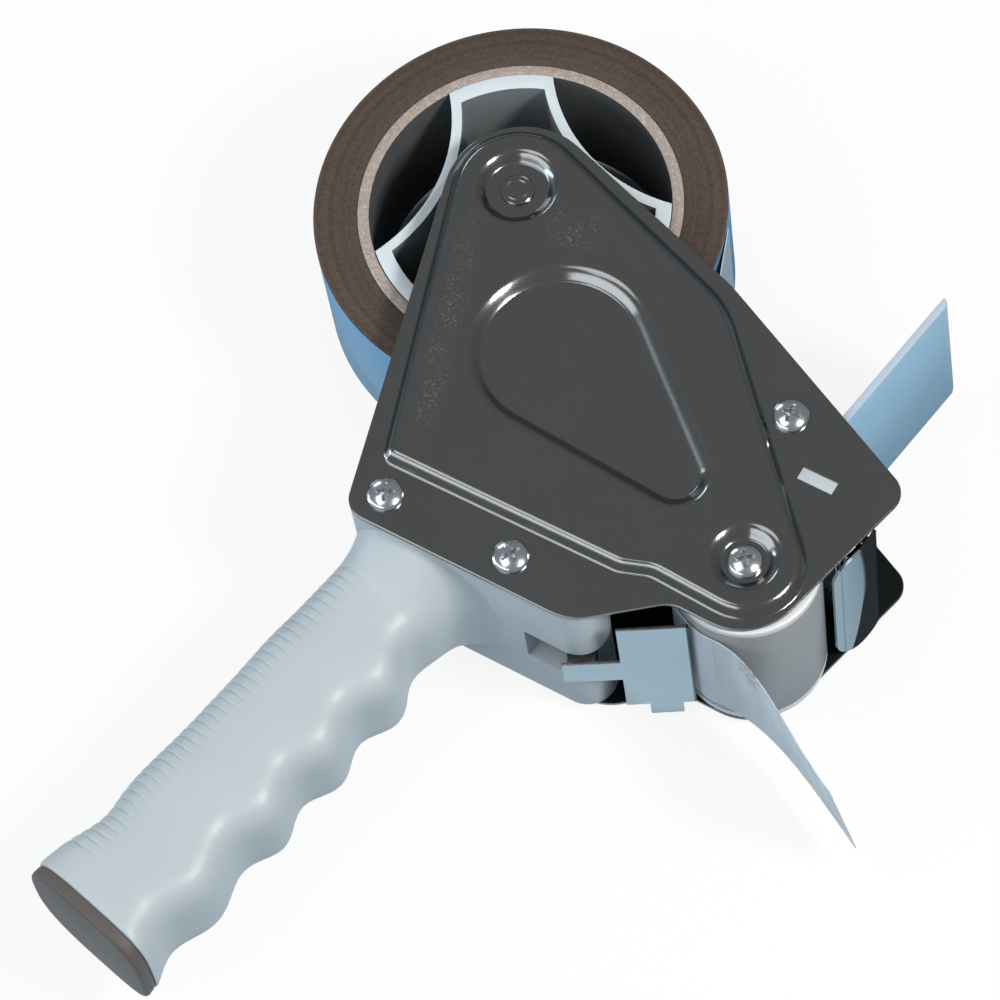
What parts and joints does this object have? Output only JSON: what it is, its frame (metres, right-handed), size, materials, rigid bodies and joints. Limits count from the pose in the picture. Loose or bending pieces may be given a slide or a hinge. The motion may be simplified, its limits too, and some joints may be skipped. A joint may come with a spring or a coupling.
{
  "type": "packing tape dispenser",
  "caption": "Pistol-grip packing tape dispenser with braked tape hub, pressure roller, sprung tape retainer, serrated blade and wiper flap, loaded with tape.",
  "frame": {"origin": "on the flat raised panel of the guide plate, 60 mm ahead of and 50 mm below the hub axis", "axes": "+Z along the hub and roller axes, up from the resting panel; +X forward to the blade along the plates' lower edge; +Y from the grip to the tape roll"},
  "size_m": [0.2003, 0.2683, 0.0596],
  "materials": {
    "painted_steel": "semi-gloss black paint with a fine grain",
    "grey_plastic": "fine-grained light grey moulding",
    "cap_plastic": "satin brownish grey moulding",
    "dark_plastic": "satin black moulding",
    "dark_steel": "black painted steel",
    "plated_steel": "bright zinc plating",
    "spring_steel": "plain spring wire",
    "core_board": "raw grey-brown board",
    "brown_tape": "glossy film outside, matt wound edges",
    "single_tape": "glossy translucent film",
    "white_plastic": "satin white moulding",
    "blue_plastic": "translucent pale blue flexible strip"
  },
  "bodies": {
    "frame": {"main_side_plate": "painted_steel", "guide_side_plate": "painted_steel", "handle": "grey_plastic", "handle_end_cap": "cap_plastic", "hub_axle": "dark_steel", "brake_washers": "plated_steel", "brake_spring": "spring_steel", "tape_web": "single_tape", "tape_tail": "single_tape", "roller_axle": "plated_steel", "retainer_pin": "plated_steel", "retainer_spring": "spring_steel", "blade": "plated_steel", "blade_bar": "painted_steel", "wiper_bar": "grey_plastic", "front_post": "plated_steel", "main_plate_screws": "plated_steel", "guide_plate_screws": "plated_steel"},
    "reel": {"tape_hub": "grey_plastic", "tape_core": "core_board", "tape_roll": "brown_tape"},
    "roller": {"roller_sleeve": "grey_plastic", "roller_end_caps": "white_plastic"},
    "retainer": {"retainer_plate": "plated_steel"},
    "nut": {"tension_nut": "dark_plastic"},
    "wiper": {"wiper_flap": "blue_plastic"}
  },
  "joints": [
    {"name": "roll_spin", "type": "hinge", "parent": "frame", "child": "reel", "pos_m": [-0.06, 0.05, 0.0298], "axis": [0, 0, 1], "continuous": true},
    {"name": "roller_spin", "type": "hinge", "parent": "frame", "child": "roller", "pos_m": [0.0395, -0.0125, 0.0298], "axis": [0, 0, 1], "continuous": true},
    {"name": "retainer_pivot", "type": "hinge", "parent": "frame", "child": "retainer", "pos_m": [0.0064, -0.0376, 0.0268], "axis": [0, 0, 1], "range_deg": [-20, 0], "stiffness_Nm_per_rad": 0.05, "springref_deg": 14.32},
    {"name": "nut_turn", "type": "hinge", "parent": "frame", "child": "nut", "pos_m": [-0.06, 0.05, 0.006], "axis": [0, 0, 1], "range_deg": [-90, 90]},
    {"name": "wiper_flex", "type": "hinge", "parent": "frame", "child": "wiper", "pos_m": [0.0397, 0.0202, 0.0298], "axis": [0, 0, 1], "range_deg": [-15, 15], "stiffness_Nm_per_rad": 0.3}
  ],
  "couplings": [
    {"joint": "roller_spin", "follows": "roll_spin", "ratio": -2.8681}
  ]
}
